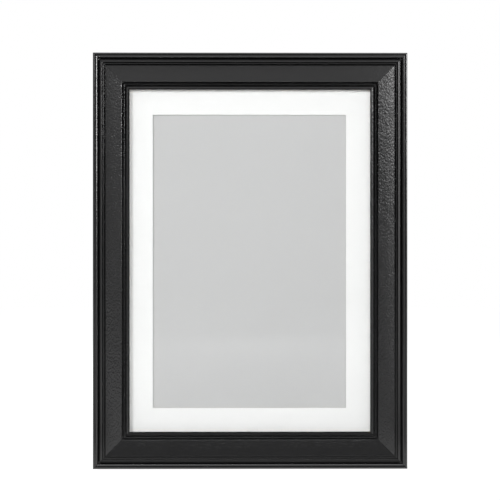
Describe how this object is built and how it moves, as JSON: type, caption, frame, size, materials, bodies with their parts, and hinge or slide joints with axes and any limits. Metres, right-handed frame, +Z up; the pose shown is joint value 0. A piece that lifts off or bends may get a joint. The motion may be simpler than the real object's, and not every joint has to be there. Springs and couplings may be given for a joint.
{
  "type": "picture frame",
  "caption": "Black moulded picture frame with a white window mat, clear front sheet, hardboard back held by turn buttons, a folding easel leg and rings for hanging.",
  "frame": {"origin": "in the underside of the bottom rail, at the middle of its width, halfway between the rear face of the rails and the top of their outer bead", "axes": "+Z up along the height of the upright frame, -Y towards the viewer (the front), +X to the right as seen from the front"},
  "size_m": [0.1546, 0.0207, 0.2046],
  "materials": {
    "moulding": "satin",
    "nail_steel": "satin",
    "clear_sheet": "gloss",
    "mat_board": "matte",
    "insert_paper": "matte",
    "hardboard": "matte",
    "zinc_plate": "satin",
    "screw_steel": "satin",
    "rivet_steel": "satin",
    "ring_wire": "gloss"
  },
  "bodies": {
    "frame": {"top_rail": "moulding", "bottom_rail": "moulding", "left_rail": "moulding", "right_rail": "moulding", "corner_v_nails": "nail_steel", "front_sheet": "clear_sheet", "window_mat": "mat_board", "photo_insert": "insert_paper", "back_panel": "hardboard", "turn_button_screws": "screw_steel", "hinge_back_leaf": "zinc_plate", "hinge_pin": "rivet_steel", "hinge_back_rivets": "rivet_steel", "hanger_strap_top": "zinc_plate", "hanger_strap_side": "zinc_plate", "hanger_rivets": "rivet_steel"},
    "leg": {"easel_leg": "hardboard", "hinge_leg_leaf": "zinc_plate", "hinge_leg_rivets": "rivet_steel"},
    "ring_top": {"hanging_ring_top": "ring_wire"},
    "ring_side": {"hanging_ring_side": "ring_wire"},
    "button_top_left": {"turn_button_top_left": "zinc_plate"},
    "button_top_right": {"turn_button_top_right": "zinc_plate"},
    "button_bottom_left": {"turn_button_bottom_left": "zinc_plate"},
    "button_bottom_right": {"turn_button_bottom_right": "zinc_plate"},
    "button_left_upper": {"turn_button_left_upper": "zinc_plate"},
    "button_left_lower": {"turn_button_left_lower": "zinc_plate"},
    "button_right_upper": {"turn_button_right_upper": "zinc_plate"},
    "button_right_lower": {"turn_button_right_lower": "zinc_plate"}
  },
  "joints": [
    {"name": "easel_leg_hinge", "type": "hinge", "parent": "frame", "child": "leg", "pos_m": [0, 0.00988, 0.142], "axis": [1, 0, 0], "range_deg": [0, 25]},
    {"name": "top_ring_pivot", "type": "hinge", "parent": "frame", "child": "ring_top", "pos_m": [0, 0.00953, 0.1761], "axis": [1, 0, 0], "range_deg": [0, 180]},
    {"name": "side_ring_pivot", "type": "hinge", "parent": "frame", "child": "ring_side", "pos_m": [0.056, 0.00953, 0.1023], "axis": [0, 0, -1], "range_deg": [0, 180]},
    {"name": "turn_button_top_left_pivot", "type": "hinge", "parent": "frame", "child": "button_top_left", "pos_m": [-0.04, 0.0085, 0.1986], "axis": [0, 1, 0], "continuous": true},
    {"name": "turn_button_top_right_pivot", "type": "hinge", "parent": "frame", "child": "button_top_right", "pos_m": [0.04, 0.0085, 0.1986], "axis": [0, 1, 0], "continuous": true},
    {"name": "turn_button_bottom_left_pivot", "type": "hinge", "parent": "frame", "child": "button_bottom_left", "pos_m": [-0.04, 0.0085, 0.006], "axis": [0, 1, 0], "continuous": true},
    {"name": "turn_button_bottom_right_pivot", "type": "hinge", "parent": "frame", "child": "button_bottom_right", "pos_m": [0.04, 0.0085, 0.006], "axis": [0, 1, 0], "continuous": true},
    {"name": "turn_button_left_upper_pivot", "type": "hinge", "parent": "frame", "child": "button_left_upper", "pos_m": [-0.0713, 0.0085, 0.1548], "axis": [0, 1, 0], "continuous": true},
    {"name": "turn_button_left_lower_pivot", "type": "hinge", "parent": "frame", "child": "button_left_lower", "pos_m": [-0.0713, 0.0085, 0.0498], "axis": [0, 1, 0], "continuous": true},
    {"name": "turn_button_right_upper_pivot", "type": "hinge", "parent": "frame", "child": "button_right_upper", "pos_m": [0.0713, 0.0085, 0.1548], "axis": [0, 1, 0], "continuous": true},
    {"name": "turn_button_right_lower_pivot", "type": "hinge", "parent": "frame", "child": "button_right_lower", "pos_m": [0.0713, 0.0085, 0.0498], "axis": [0, 1, 0], "continuous": true}
  ]
}
